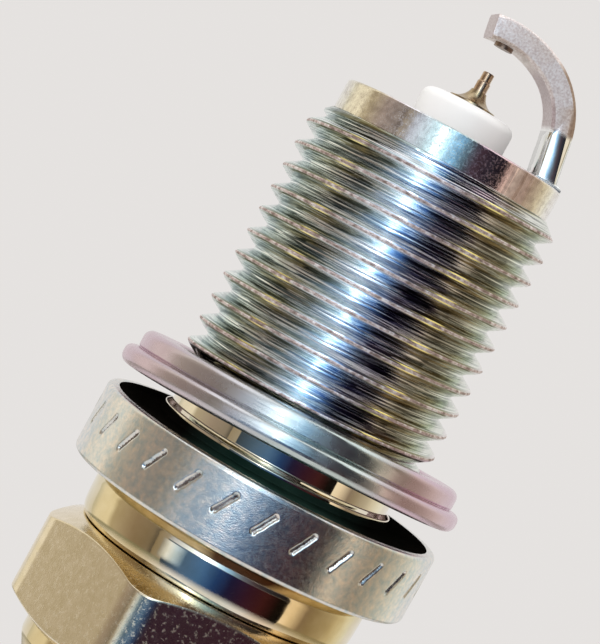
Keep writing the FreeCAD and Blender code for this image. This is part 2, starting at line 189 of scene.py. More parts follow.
def turn(name, profile, body, material, node=None, segments=288, closed=False, move=None,
         sharp_deg=None):
    """A skin round the axis. profile is an outline of (r, z), or a function of the angle that gives one."""
    verts, faces, uvs = [], [], []
    count = None
    for j in range(segments):
        angle = 2 * math.pi * j / segments
        outline = profile(angle) if callable(profile) else profile
        count = len(outline)
        run = 0.0
        last = outline[0]
        for r, z in outline:
            run += math.hypot(r - last[0], z - last[1])
            last = (r, z)
            verts.append((r * math.cos(angle), r * math.sin(angle), z))
            uvs.append((j / segments, run))
    for j in range(segments):
        k = (j + 1) % segments
        for i in range(count if closed else count - 1):
            n = (i + 1) % count
            faces.append((j * count + i, k * count + i, k * count + n, j * count + n))
    if move is not None:
        verts = [tuple(move @ Vector(v)) for v in verts]
    add_piece(name, verts, faces, body, material, node, uvs, sharp_deg)


def thread_skin(name, body, material, node):
    """Helical skin: its rows follow the thread, so crest and root stay crisp. Clamped flat at both ends.
    Heights are shares of the thread's depth, and u is a share of the pitch, 0 on the crest."""
    segments = 360
    half_crest = 0.075
    crest_sag = 0.06
    crest_edge = 0.94
    crest_rough = 0.02
    crest_rough_scale = (60, 3.1)
    sunk = 0.05
    uv_turn = 43.0
    flank = THREAD_DEPTH * math.tan(math.radians(30))
    shoulder = 0.10
    shoulder_drop = crest_edge * shoulder / flank / 2
    foot = (half_crest + shoulder / 2 + flank) / THREAD_PITCH
    top = half_crest / THREAD_PITCH
    edge = (half_crest + shoulder) / THREAD_PITCH
    stations = [-0.5, -foot - 0.01] + list(np.linspace(-foot + 0.01, -edge, 4))
    stations += list(np.linspace(-edge, -top, 4)[1:]) + [-top * 0.45, 0.0]
    stations = sorted(set(stations + [-s for s in stations if -0.5 < s < 0]))
    first = int((THREAD_FOOT_Z - THREAD_PHASE_Z) / THREAD_PITCH) - 1
    last = int((THREAD_LEAD_Z - THREAD_PHASE_Z) / THREAD_PITCH) + 2
    per = len(stations)

    def height(u):
        d = abs(u) * THREAD_PITCH
        if d <= half_crest:
            return 1 - crest_sag * (d / half_crest) ** 2
        if d <= half_crest + shoulder:
            return crest_edge - shoulder_drop * ((d - half_crest) / shoulder) ** 2
        rise = crest_edge - shoulder_drop - crest_edge * (d - half_crest - shoulder) / flank
        return max(rise, -0.01)

    low, high = THREAD_FOOT_Z - 0.1, LAND_FOOT_Z
    rows = [(turn_no + u, height(u)) for turn_no in range(first, last) for u in stations]
    verts, uvs = [], []
    for level, h in rows:
        for j in range(segments):
            share = j / segments
            z = THREAD_PHASE_Z + (level + share) * THREAD_PITCH
            angle = 2 * math.pi * share
            z = min(max(z, low), high)
            cap_low = (z - THREAD_FOOT_Z) / THREAD_RUNOUT
            cap_high = (THREAD_LEAD_Z - z) / THREAD_RUNOUT
            rough = 0.0
            if h > 0.9:
                place = (angle * crest_rough_scale[0], level * crest_rough_scale[1], 0.0)
                rough = crest_rough * noise.noise(place)
            rise = max(-sunk, min(h + rough, cap_low, cap_high))
            r = ROOT_R + THREAD_DEPTH * rise
            if z <= low + 1e-6:
                r = NECK_R
            if z >= high - 1e-6:
                r = LAND_R
            verts.append((r * math.cos(angle), r * math.sin(angle), z))
            uvs.append((share * uv_turn + level * uv_turn, level))
    faces = []
    for i in range(len(rows) - 1):
        for j in range(segments):
            if j < segments - 1:
                quad = (i * segments + j, i * segments + j + 1, (i + 1) * segments + j + 1,
                        (i + 1) * segments + j)
            else:
                up = i + per
                if up + 1 >= len(rows):
                    continue
                quad = (i * segments + j, up * segments, (up + 1) * segments, (i + 1) * segments + j)
            zs = [verts[q][2] for q in quad]
            if max(zs) <= low + 1e-6 or min(zs) >= high - 1e-6:
                continue
            faces.append(quad)
    add_piece(name, verts, faces, body, material, node, uvs)


# ---- materials ----------------------------------------------------------------------------------

BLACK, WHITE = (0, 0, 0), (1, 1, 1)


def start_material(name):
    mat = bpy.data.materials.new(name)
    mat.use_nodes = True
    tree = mat.node_tree
    shader = next(n for n in tree.nodes if n.type == "BSDF_PRINCIPLED")
    coords = tree.nodes.new("ShaderNodeTexCoord")
    return mat, tree, shader, coords.outputs["Object"]


def noise_node(tree, coords, scale, detail=4.0, rough=0.55, stretch=None):
    source = coords
    if stretch:
        mapping = tree.nodes.new("ShaderNodeMapping")
        mapping.inputs["Scale"].default_value = stretch
        tree.links.new(coords, mapping.inputs["Vector"])
        source = mapping.outputs["Vector"]
    node = tree.nodes.new("ShaderNodeTexNoise")
    node.inputs["Scale"].default_value = scale
    node.inputs["Detail"].default_value = detail
    node.inputs["Roughness"].default_value = rough
    tree.links.new(source, node.inputs["Vector"])
    return node.outputs["Fac"]


def ramp(tree, value, stops):
    node = tree.nodes.new("ShaderNodeValToRGB")
    band = node.color_ramp
    band.elements.remove(band.elements[1])
    band.elements[0].position = stops[0][0]
    band.elements[0].color = (*stops[0][1], 1)
    for place, colour in stops[1:]:
        band.elements.new(place).color = (*colour, 1)
    tree.links.new(value, node.inputs["Fac"])
    return node.outputs["Color"]


def span(tree, value, low, high, start=0.3, end=0.7):
    node = tree.nodes.new("ShaderNodeMapRange")
    node.inputs["From Min"].default_value = start
    node.inputs["From Max"].default_value = end
    node.inputs["To Min"].default_value = low
    node.inputs["To Max"].default_value = high
    tree.links.new(value, node.inputs["Value"])
    return node.outputs["Result"]


def bump(tree, shader, height, strength, distance):
    node = tree.nodes.new("ShaderNodeBump")
    node.inputs["Strength"].default_value = strength
    node.inputs["Distance"].default_value = distance * MM
    tree.links.new(height, node.inputs["Height"])
    tree.links.new(node.outputs["Normal"], shader.inputs["Normal"])


def metal(name, tints, tint_scale, roughness, grain, grain_height, sides=None):
    """Plated metal: blotchy tint, uneven gloss and a fine grain. Scales are per metre."""
    mat, tree, shader, coords = start_material(name)
    shader.inputs["Metallic"].default_value = 1.0
    count = max(1, len(tints) - 1)
    stops = [(0.3 + 0.4 * i / count, c) for i, c in enumerate(tints)]
    tint = ramp(tree, noise_node(tree, coords, tint_scale), stops)
    if sides:
        tint = multiply(tree, tint, across(tree, coords, BULGE_R, sides))
    tree.links.new(tint, shader.inputs["Base Color"])
    gloss = span(tree, noise_node(tree, coords, tint_scale * 2.3, 6), roughness[0], roughness[1])
    tree.links.new(gloss, shader.inputs["Roughness"])
    if grain_height:
        bump(tree, shader, noise_node(tree, coords, grain, 5, 0.6), 1.0, grain_height)
    return mat


def mix_node(tree, kind, first, second):
    node = tree.nodes.new("ShaderNodeMix")
    node.data_type = kind
    tree.links.new(first, [i for i in node.inputs if i.name == "A" and i.enabled][0])
    tree.links.new(second, [i for i in node.inputs if i.name == "B" and i.enabled][0])
    return node, [o for o in node.outputs if o.enabled][0]


def blend(tree, factor, low, high, kind="RGBA"):
    node, result = mix_node(tree, kind, low, high)
    tree.links.new(factor, node.inputs["Factor"])
    return result


def multiply(tree, first, second):
    node, result = mix_node(tree, "RGBA", first, second)
    node.blend_type = "MULTIPLY"
    node.inputs["Factor"].default_value = 1.0
    return result


def across(tree, coords, half_width, stops):
    """Colour that changes from one side of the plug to the other, from stops of (degrees round it, colour).
    It carries the plating's interference tint and, in some materials, painted reflection and painted shade."""
    split = tree.nodes.new("ShaderNodeSeparateXYZ")
    tree.links.new(coords, split.inputs[0])
    share = span(tree, split.outputs["X"], 0, 1, -half_width * MM, half_width * MM)
    return ramp(tree, share, [((math.sin(math.radians(deg)) + 1) / 2, colour) for deg, colour in stops])


def thread_metal():
    """Rolled thread: fine bright lines on root and upper flank, rough pink crest. Its side-to-side colours
    are
    painted reflection and shade: dark olive lower flanks, blue-white near the middle, dark navy right of it,
    and yellow glints beside the crest.
    """
    mat, tree, shader, coords = start_material("plated_thread_rolled")
    shader.inputs["Metallic"].default_value = 1.0
    texture = tree.nodes.new("ShaderNodeTexCoord")
    split = tree.nodes.new("ShaderNodeSeparateXYZ")
    tree.links.new(texture.outputs["UV"], split.inputs[0])
    place = tree.nodes.new("ShaderNodeMath")
    place.operation = "FRACT"
    tree.links.new(split.outputs["Y"], place.inputs[0])
    crest = ramp(tree, place.outputs[0], [
        (0.0, WHITE), (0.05, WHITE), (0.065, BLACK), (0.935, BLACK), (0.95, WHITE)])
    lined = ramp(tree, place.outputs[0], [(0.0, WHITE), (0.60, WHITE), (0.66, BLACK), (1.0, BLACK)])
    lines = noise_node(tree, texture.outputs["UV"], 1.0, 1.0, 0.6, (0.30, 10.0, 1.0))
    strength = span(tree, lines, 0, 1, 0.505, 0.515)
    # Painted reflection and shade: pale blue-white where the lamp shows near the middle, dark teal, olive,
    # black and amber beside it.
    flank = across(tree, coords, THREAD_R, [
        (-90, (0.80, 0.95, 0.92)), (-66, (0.58, 0.70, 0.68)), (-56, (0.24, 0.29, 0.27)),
        (-46, (0.26, 0.26, 0.16)), (-30, (0.34, 0.31, 0.16)), (-20, (0.40, 0.46, 0.42)),
        (-6, (0.80, 0.95, 1.0)), (4, (0.50, 0.62, 0.80)), (11, (0.20, 0.15, 0.20)),
        (22, (0.18, 0.13, 0.10)), (28, (0.36, 0.28, 0.12)), (44, (0.44, 0.33, 0.15)),
        (56, (0.42, 0.42, 0.26)), (66, (0.66, 0.78, 0.62)), (90, (0.96, 0.86, 0.92))])
    blotches = ramp(tree, noise_node(tree, coords, 1800, 3), [(0.35, (0.6, 0.6, 0.6)), (0.65, WHITE)])
    flank = multiply(tree, flank, blotches)
    # Painted reflection and shade for the smooth lines: blue-white near the middle, nearly black right of it.
    dull_painted_reflection = across(tree, coords, THREAD_R, [
        (-90, (0.80, 0.95, 0.92)), (-64, (0.40, 0.50, 0.50)), (-45, (0.15, 0.18, 0.17)),
        (-28, (0.13, 0.16, 0.17)), (-20, (0.34, 0.42, 0.46)), (-6, (0.72, 0.86, 0.98)),
        (4, (0.24, 0.34, 0.52)), (11, (0.05, 0.05, 0.12)), (27, (0.05, 0.04, 0.05)),
        (31, (0.20, 0.19, 0.16)), (50, (0.24, 0.25, 0.22)), (68, (0.55, 0.62, 0.55)),
        (90, (0.96, 0.86, 0.92))])
    shine = across(tree, coords, THREAD_R, [
        (-60, (0.90, 0.98, 0.96)), (-30, (1.0, 1.0, 1.0)), (10, (1.0, 1.0, 1.0)), (14, (0.96, 0.96, 1.0)),
        (26, (1.0, 0.98, 0.98)), (34, (0.82, 0.82, 0.78)), (60, (0.86, 0.90, 0.84))])
    # Painted glints: yellow on the shoulder bands beside the crest, left and right of the middle, blue-white
    # near it.
    painted_glint_band = ramp(tree, place.outputs[0], [
        (0.0, BLACK), (0.06, BLACK), (0.07, WHITE), (0.11, WHITE), (0.125, BLACK),
        (0.875, BLACK), (0.89, WHITE), (0.93, WHITE), (0.94, BLACK)])
    painted_glint = across(tree, coords, THREAD_R, [
        (-90, (0.7, 0.8, 0.75)), (-60, (0.22, 0.25, 0.18)), (-41, (0.20, 0.20, 0.12)),
        (-37, (0.95, 0.85, 0.40)), (-33, (0.95, 0.85, 0.40)), (-29, (0.22, 0.24, 0.20)),
        (-10, (0.8, 0.9, 1.0)), (10, (0.2, 0.2, 0.3)), (23, (0.4, 0.34, 0.16)), (26, (1.0, 0.88, 0.34)),
        (32, (1.0, 0.86, 0.34)), (36, (0.24, 0.20, 0.10)), (60, (0.32, 0.33, 0.24)),
        (90, (0.9, 0.85, 0.85))])
    scored = blend(tree, span(tree, lines, 0, 0.8, 0.555, 0.57), flank, shine)
    tinted = blend(tree, painted_glint_band, blend(tree, lined, scored, blend(tree, strength, dull_painted_reflection, shine)), painted_glint)
    pink = ramp(tree, noise_node(tree, coords, 2600, 6, 0.7), [
        (0.38, (0.34, 0.25, 0.22)), (0.50, (0.70, 0.57, 0.55)), (0.60, (1.0, 0.95, 0.95))])
    tree.links.new(blend(tree, crest, tinted, pink), shader.inputs["Base Color"])
    line_rough = span(tree, strength, 0.08, 0.27, 0, 1)
    crest_rough = span(tree, crest, 0.09, 0.55, 0, 1)
    tree.links.new(blend(tree, crest, line_rough, crest_rough, "FLOAT"), shader.inputs["Roughness"])
    flat = blend(tree, lined, noise_node(tree, coords, 2500, 2), lines, "FLOAT")
    bump(tree, shader, blend(tree, crest, flat, noise_node(tree, coords, 8000, 3), "FLOAT"), 1.0, 0.004)
    return mat


def land_metal():
    """Bright plating of the land: tints from side to side, partly painted reflection, fine duller specks,
    upright streaks at right.
    """
    mat, tree, shader, coords = start_material("plated_land")
    shader.inputs["Metallic"].default_value = 1.0
    # Partly painted reflection: gold at left, darker teal in the middle, pink and bright patches at right.
    tint = across(tree, coords, LAND_R, [
        (-90, (0.98, 0.97, 0.90)), (-60, (0.96, 0.90, 0.72)), (-45, (0.94, 0.86, 0.68)),
        (-36, (1.0, 0.93, 0.93)), (-26, (1.0, 0.96, 1.0)), (-18, (0.90, 0.92, 0.95)),
        (-10, (0.56, 0.66, 0.66)), (-3, (0.52, 0.64, 0.63)), (4, (0.70, 0.86, 0.86)),
        (9, (0.62, 0.76, 0.76)), (14, (0.80, 0.62, 0.70)), (30, (0.84, 0.62, 0.66)),
        (36, (1.0, 0.88, 0.90)), (44, (0.92, 0.74, 0.74)), (56, (0.94, 0.86, 0.72)),
        (90, (0.98, 0.97, 0.94))])
    blotches = ramp(tree, noise_node(tree, coords, 3000, 5), [(0.35, (0.72, 0.70, 0.70)), (0.6, WHITE)])
    tint = multiply(tree, tint, blotches)
    tree.links.new(tint, shader.inputs["Base Color"])
    specks = span(tree, noise_node(tree, coords, 9000, 4, 0.75), 0, 1, 0.53, 0.57)
    streaks = span(tree, noise_node(tree, coords, 4500, 3, 0.6, (1.0, 1.0, 0.03)), 0, 1, 0.44, 0.56)
    right = across(tree, coords, LAND_R, [(27, BLACK), (33, WHITE), (46, WHITE), (54, BLACK)])
    marks = blend(tree, right, specks, streaks, "FLOAT")
    tree.links.new(span(tree, marks, 0.07, 0.36, 0, 1), shader.inputs["Roughness"])
    bump(tree, shader, noise_node(tree, coords, 9000, 4, 0.6), 1.0, 0.004)
    return mat


def mottled_metal(name, tints, smooth, patch, patch_scale, patch_share, grain, grain_height):
    """Bright plating with duller, lighter patches: patch_share of the surface has the patch roughness."""
    mat, tree, shader, coords = start_material(name)
    shader.inputs["Metallic"].default_value = 1.0
    tint = ramp(tree, noise_node(tree, coords, patch_scale * 0.5), [(0.3, tints[0]), (0.7, tints[1])])
    tree.links.new(tint, shader.inputs["Base Color"])
    edge = 0.5 + 0.25 * (0.5 - patch_share)
    patches = noise_node(tree, coords, patch_scale, 6, 0.65)
    patches = span(tree, patches, smooth, patch, edge - 0.02, edge + 0.04)
    tree.links.new(patches, shader.inputs["Roughness"])
    bump(tree, shader, noise_node(tree, coords, grain, 4, 0.6), 1.0, grain_height)
    return mat


rolled = thread_metal()
plate = land_metal()
# Its side-to-side tint is partly painted reflection: blue-white near the middle, gold towards the sides.
gold = metal("plated_gold", [(0.78, 0.70, 0.52), (1.0, 0.95, 0.84)], 420, (0.04, 0.09), 1200, 0.002, [
    (-90, (0.95, 0.96, 0.90)), (-60, (0.88, 0.80, 0.58)), (-30, (0.82, 0.72, 0.52)),
    (-18, (0.94, 0.92, 0.88)), (8, (0.90, 0.96, 1.0)), (24, (0.96, 0.82, 0.70)), (34, (0.95, 0.84, 0.62)),
    (60, (0.84, 0.74, 0.50)), (90, (0.92, 0.92, 0.82))])
# Painted shade: darker gold in the groove under the collar, with its shadow painted near-black in front.
groove_painted_shade = metal(
    "plated_groove_painted_shade", [(0.52, 0.41, 0.22), (0.72, 0.60, 0.38)], 700, (0.16, 0.28), 5000, 0.004, [
    (-12, (1.0, 1.0, 1.0)), (-3, (0.16, 0.10, 0.10)), (22, (0.12, 0.06, 0.05)), (30, (1.0, 0.95, 0.85))])
shaft = metal("plated_neck", [(0.80, 0.72, 0.54), (0.92, 0.85, 0.70)], 300, (0.03, 0.05), 2500, 0.0005)
satin = metal("plated_satin", [(0.60, 0.69, 0.72), (0.95, 0.87, 0.78)], 2800, (0.15, 0.27), 15000, 0.007)
# Painted shade: the floors of the collar's strokes are much darker than the collar.
stroke_painted_shade = metal("plated_stroke_painted_shade", [(0.16, 0.12, 0.11), (0.44, 0.38, 0.36)], 3000, (0.2, 0.4), 15000, 0.006)
hex_plate = mottled_metal(
    "plated_hexagon", [(0.80, 0.70, 0.50), (0.92, 0.82, 0.64)], 0.14, 0.30, 4200, 0.22, 9000, 0.004)


def bar_metal():
    """Nickel bar: drawn and grainy, bright where plating ran up its foot, with painted shade by the way a
    face
    turns: tan outside and lilac grey inside.
    """
    mat, tree, shader, coords = start_material("nickel_bar")
    height = tree.nodes.new("ShaderNodeSeparateXYZ")
    tree.links.new(coords, height.inputs[0])
    bare = span(tree, height.outputs["Z"], 0, 1, PLATED_FOOT_Z * MM, (PLATED_FOOT_Z + 0.25) * MM)
    bead = span(tree, height.outputs["Z"], 1, 0, (REACH + 0.2) * MM, (REACH + 0.5) * MM)
    texture = tree.nodes.new("ShaderNodeTexCoord")
    facing = tree.nodes.new("ShaderNodeSeparateXYZ")
    tree.links.new(texture.outputs["Normal"], facing.inputs[0])
    plated = ramp(tree, noise_node(tree, coords, 900, 4), [
        (0.35, (0.80, 0.82, 0.80)), (0.65, (0.96, 0.97, 0.95))])
    drawn = ramp(tree, noise_node(tree, coords, 9000, 5), [
        (0.36, (0.70, 0.60, 0.57)), (0.5, (0.85, 0.76, 0.73)), (0.62, (0.97, 0.91, 0.89))])
    # Painted shade by the way a face turns: lilac grey on faces turned to -X, darker tan on those turned to
    # +X.
    painted_shade_by_facing = ramp(tree, span(tree, facing.outputs["X"], 0, 1, -1, 1), [
        (0.0, (0.66, 0.64, 0.66)), (0.26, (0.68, 0.62, 0.66)), (0.34, (1.0, 1.0, 1.0)),
        (0.70, (1.0, 0.99, 0.98)), (0.76, (0.46, 0.36, 0.28)), (1.0, (0.56, 0.46, 0.37))])
    tree.links.new(span(tree, bare, 1.0, 0.6, 0, 1), shader.inputs["Metallic"])
    tree.links.new(blend(tree, bare, plated, multiply(tree, drawn, painted_shade_by_facing)), shader.inputs["Base Color"])
    plated_rough = span(tree, bead, 0.09, 0.4, 0, 1)
    rough = blend(tree, bare, plated_rough, span(tree, drawn, 0.5, 0.36, 0, 1), "FLOAT")
    tree.links.new(rough, shader.inputs["Roughness"])
    smooth, coarse = noise_node(tree, coords, 1500, 3), noise_node(tree, coords, 7000, 4)
    bump(tree, shader, blend(tree, bare, smooth, coarse, "FLOAT"), 1.0, 0.007)
    return mat


nickel = bar_metal()


def gasket_metal():
    """Folded strip: grey-teal across the middle, lilac pink towards both sides, soft drawn streaks."""
    mat, tree, shader, coords = start_material("gasket_steel")
    shader.inputs["Metallic"].default_value = 1.0
    split = tree.nodes.new("ShaderNodeSeparateXYZ")
    tree.links.new(coords, split.inputs[0])
    drift = noise_node(tree, coords, 260, 3)
    place = tree.nodes.new("ShaderNodeMath")
    place.operation = "MULTIPLY_ADD"
    place.inputs[1].default_value = 0.004
    tree.links.new(drift, place.inputs[0])
    tree.links.new(split.outputs["X"], place.inputs[2])
    sides = span(tree, place.outputs[0], 0, 1, -COLLAR_R * MM, (COLLAR_R + 4) * MM)
    tint = ramp(tree, sides, [
        (0.0, (0.74, 0.53, 0.62)), (0.18, (0.66, 0.54, 0.60)), (0.36, (0.62, 0.62, 0.65)),
        (0.5, (0.58, 0.66, 0.66)), (0.66, (0.60, 0.68, 0.65)), (0.78, (0.72, 0.55, 0.64))])
    tree.links.new(tint, shader.inputs["Base Color"])
    tree.links.new(span(tree, noise_node(tree, coords, 900, 5), 0.18, 0.34), shader.inputs["Roughness"])
    texture = tree.nodes.new("ShaderNodeTexCoord")
    streaks = noise_node(tree, texture.outputs["UV"], 1.0, 4, 0.6, (14.0, 3.0, 1.0))
    bump(tree, shader, streaks, 1.0, 0.02)
    return mat


grey = gasket_metal()
olive = metal("electrode_cone", [(0.36, 0.27, 0.15), (0.60, 0.48, 0.32)], 900, (0.22, 0.32), 9000, 0.006)
fine = metal("fine_wire", [(0.50, 0.34, 0.22), (0.86, 0.72, 0.56)], 1500, (0.2, 0.32), 9000, 0.006)
# The platinum pad is coloured dark brown.
dark_brown_pad = metal("pad_platinum", [(0.16, 0.10, 0.07), (0.34, 0.25, 0.19)], 1500, (0.3, 0.4), 9000, 0.006)
steel = metal("terminal_steel", [(0.60, 0.60, 0.60), (0.72, 0.72, 0.71)], 300, (0.2, 0.32), 5000, 0.003)
copper = metal("copper_core", [(0.62, 0.30, 0.18), (0.76, 0.42, 0.28)], 300, (0.3, 0.4), 5000, 0.003)


def ceramic(name, tints, roughness, coat, grain_height, specular=0.5, sides=None):
    mat, tree, shader, coords = start_material(name)
    tint = ramp(tree, noise_node(tree, coords, 350), [(0.3, tints[0]), (0.7, tints[1])])
    if sides:
        tint = multiply(tree, tint, across(tree, coords, COLLAR_R, sides))
    tree.links.new(tint, shader.inputs["Base Color"])
    gloss = span(tree, noise_node(tree, coords, 800), roughness[0], roughness[1])
    tree.links.new(gloss, shader.inputs["Roughness"])
    shader.inputs["Specular IOR Level"].default_value = specular
    shader.inputs["Coat Weight"].default_value = coat
    shader.inputs["Coat Roughness"].default_value = 0.06
    bump(tree, shader, noise_node(tree, coords, 6000), 1.0, grain_height)
    return mat


alumina = ceramic("alumina", [(0.95, 0.945, 0.94), (0.98, 0.975, 0.97)], (0.45, 0.6), 0.0, 0.003)
glazed = ceramic("alumina_glazed", [(0.80, 0.79, 0.765), (0.84, 0.83, 0.81)], (0.2, 0.3), 0.6, 0.002)
dark_glass = ceramic("seal_glass", [(0.10, 0.06, 0.05), (0.16, 0.10, 0.08)], (0.2, 0.35), 0.2, 0.004)
carbon = ceramic("resistor_mix", [(0.03, 0.03, 0.03), (0.07, 0.07, 0.07)], (0.6, 0.8), 0.0, 0.01)
# Painted shade: near-black green seat face under the gasket, with a lighter painted reflection in the middle.
seat_painted_shade = ceramic(
    "plated_seat_painted_shade", [(0.012, 0.035, 0.028), (0.03, 0.075, 0.06)], (0.4, 0.5), 0.0, 0.004, 0.0, [
    (-90, (0.3, 0.1, 0.1)), (-30, (0.3, 0.1, 0.1)), (-8, (1.0, 1.0, 1.0)), (14, (0.9, 0.8, 0.8)),
    (36, (0.3, 0.12, 0.12)), (90, (0.3, 0.1, 0.1))])
talc = ceramic("talc", [(0.66, 0.64, 0.60), (0.74, 0.72, 0.68)], (0.8, 0.95), 0.0, 0.02)


# ---- metal shell --------------------------------------------------------------------------------

thread_skin("shell_thread", "plug", rolled, "metal_shell")

turn("shell_land", rounded([
    (LAND_R, LAND_FOOT_Z, 0), (LAND_R, REACH - INSET, 0.14), (FRONT_BORE_R, REACH - INSET, 0.12),
    (FRONT_BORE_R, FRONT_BORE_END_Z, 0.3), (LEDGE_R, LEDGE_Z, 0.2), (LEDGE_R, BORE_SKIN_END_Z, 0)]),
    "plug", plate, "metal_shell")

NECK_FOOT_Z = SEAT_STEP_H - 0.14
SEAT_EDGE_R = COLLAR_R - 0.55
COLLAR_FOOT_R = COLLAR_R - 0.5

turn("shell_neck", rounded([
    (NECK_R, THREAD_FOOT_Z - 0.1, 0), (NECK_R, SEAT_STEP_H + 0.2, 0.1), (SEAT_STEP_R, SEAT_STEP_H, 0.12),
    (SEAT_STEP_R, NECK_FOOT_Z, 0)]), "plug", shaft, "metal_shell")

# The seat face under the gasket, near-black as painted shade.
turn("shell_seat", rounded([(SEAT_STEP_R, NECK_FOOT_Z, 0), (SEAT_STEP_R, 0, 0.1), (SEAT_EDGE_R, 0, 0)]),
     "plug", seat_painted_shade, "metal_shell")

STROKES = 28
STROKE_FIRST_DEG = -159.5
STROKE_LEAN_DEG = -3.8
STROKE_TOP_Z = -1.0
STROKE_LENGTH = 1.05
STROKE_HALF_WIDTH = 0.17
STROKE_DEPTH = 0.13
STROKE_MARGIN = 0.3            # fine rows go this far past the strokes
STROKE_WAVER = 0.04
STROKE_FLOOR = 0.62            # share of a stroke's half width that is its floor


def collar_skin():
    """Collar side with a ring of short slanted strokes sunk into it. Their floors are their own piece, darker
    as painted shade.
    """
    segments, rows = 1120, 28
    band_top = STROKE_TOP_Z + STROKE_MARGIN
    band_end = STROKE_TOP_Z - STROKE_LENGTH - STROKE_MARGIN
    outline = rounded([(SEAT_EDGE_R, 0, 0), (COLLAR_R, 0, 0.34), (COLLAR_R, band_top, 0)], 8)
    outline += [(COLLAR_R, band_top + (band_end - band_top) * k / rows) for k in range(1, rows + 1)]
    outline += rounded([
        (COLLAR_R, band_end - 0.05, 0), (COLLAR_R, -COLLAR_H, 0.36), (COLLAR_FOOT_R, -COLLAR_H, 0)], 8)
    count = len(outline)
    verts, uvs, sunk = [], [], []
    pitch = 360 / STROKES
    for j in range(segments):
        turned_deg = 360 * j / segments
        a = math.radians(turned_deg)
        for r, z in outline:
            down = (STROKE_TOP_Z - z) / STROKE_LENGTH
            along = min(max(down, 0.0), 1.0)
            off = (turned_deg - STROKE_FIRST_DEG - STROKE_LEAN_DEG * along + pitch / 2) % pitch - pitch / 2
            waver = STROKE_WAVER * noise.noise((z * 3.0, turned_deg * 0.3, 0.0))
            aside = math.radians(off) * COLLAR_R + waver
            d = math.hypot(aside, (down - along) * STROKE_LENGTH) / STROKE_HALF_WIDTH
            if r > COLLAR_R - 1e-6 and d < 1:
                r -= STROKE_DEPTH * (1 - d * d)
            verts.append((r * math.cos(a), r * math.sin(a), z))
            uvs.append((j / segments, -z))
            sunk.append(d < STROKE_FLOOR)
    faces = []
    for j in range(segments):
        here, beside = j * count, (j + 1) % segments * count
        faces += [(here + i, beside + i, beside + i + 1, here + i + 1) for i in range(count - 1)]
    side_faces = [f for f in faces if not all(sunk[v] for v in f)]
    floor_faces = [f for f in faces if all(sunk[v] for v in f)]
    used = sorted({v for f in floor_faces for v in f})
    place = {v: n for n, v in enumerate(used)}
    add_piece("shell_collar", verts, side_faces, "plug", satin, "metal_shell", uvs)
    floor_faces = [tuple(place[v] for v in f) for f in floor_faces]
    add_piece("shell_strokes", [verts[v] for v in used], floor_faces, "plug", stroke_painted_shade,
              "metal_shell", [uvs[v] for v in used])


collar_skin()

# The groove under the collar, in darker gold as painted shade.
turn("shell_groove", rounded([
    (COLLAR_FOOT_R, -COLLAR_H, 0), (GROOVE_R, -COLLAR_H, 0.15), (GROOVE_R, -COLLAR_H - 0.4, 0)]),
    "plug", groove_painted_shade, "metal_shell")

BULGE_TOP = (GROOVE_R - 0.05, -COLLAR_H - 0.12)
BULGE_FOOT = (GROOVE_R - 0.12, HEX_TOP_Z + INSET)
BULGE_OUT = BULGE_R - GROOVE_R + 0.07

bulge_outline = swell_points(BULGE_TOP, BULGE_OUT, BULGE_FOOT, 0.30, (2.0, 5))
turn("shell_bulge", bulge_outline, "plug", gold, "metal_shell")


def hex_radius(angle):
    """Distance to the side of a hexagon whose corners are rounded."""
    off = (angle - math.radians(HEX_CORNER_DEG) + math.pi / 6) % (math.pi / 3) - math.pi / 6
    away = math.pi / 6 - abs(off)
    flat = HEX_HALF_WIDTH / math.cos(away)
    corner = HEX_HALF_WIDTH / math.cos(math.pi / 6)
    centre = corner - HEX_CORNER_ROUND / math.cos(math.pi / 6)
    touch = math.atan2(HEX_CORNER_ROUND * math.sin(math.pi / 6),
                       centre + HEX_CORNER_ROUND * math.cos(math.pi / 6))
    if abs(off) > touch:
        return flat
    return centre * math.cos(off) + math.sqrt(HEX_CORNER_ROUND ** 2 - (centre * math.sin(off)) ** 2)


def hex_outline(angle):
    r = hex_radius(angle)
    drop = (r - HEX_CHAMFER_R) * math.tan(math.radians(30))
    return rounded([
        (GROOVE_R - 0.4, HEX_TOP_Z, 0), (HEX_CHAMFER_R, HEX_TOP_Z, 0.2), (r, HEX_TOP_Z - drop, 0.12),
        (r, HEX_FOOT_Z + drop, 0.12), (HEX_CHAMFER_R, HEX_FOOT_Z, 0.2), (CRIMP_R - 0.1, HEX_FOOT_Z, 0)], 4)


turn("shell_hexagon", hex_outline, "plug", hex_plate, "metal_shell", 720)

turn("shell_crimp", rounded([
    (CRIMP_R, HEX_FOOT_Z + INSET, 0), (CRIMP_R, CRIMP_SIDE_END_Z, 0.9), (CRIMP_BEND_R, CRIMP_BEND_Z, 0.9),
    (CRIMP_FACE_R, CRIMP_END_Z + 0.03, 0.15), (LIP_R, CRIMP_END_Z + 0.2, 0.1),
    (LIP_R, CRIMP_END_Z + 0.95, 0)], 8),
    "plug", gold, "metal_shell")

# ---- gasket -------------------------------------------------------------------------------------

tilt = (Matrix.Translation((0, 0, GASKET_REST_Z)) @ Matrix.Rotation(math.radians(GASKET_ROLL_DEG), 4, "Y")
        @ Matrix.Rotation(math.radians(GASKET_TIP_DEG), 4, "X"))
gasket_section = rounded([
    (GASKET_BORE_R, 0.0, 0.1), (GASKET_LOWER_R, 0.0, 0.45), (GASKET_LOWER_R, 0.98, 0.4),
    (GASKET_SEAM_R, 1.03, 0.05), (GASKET_UPPER_R, 1.1, 0.35), (GASKET_UPPER_R, GASKET_H, 0.55),
    (GASKET_BORE_R, GASKET_H, 0.15), (GASKET_BORE_R, 1.2, 0.1), (GASKET_BORE_R + 0.15, 1.02, 0.1),
    (GASKET_BORE_R, 0.8, 0.1)], 7)
turn("gasket_ring", gasket_section, "gasket_ring", grey, "gasket", closed=True, move=tilt)

# ---- insulator ----------------------------------------------------------------------------------

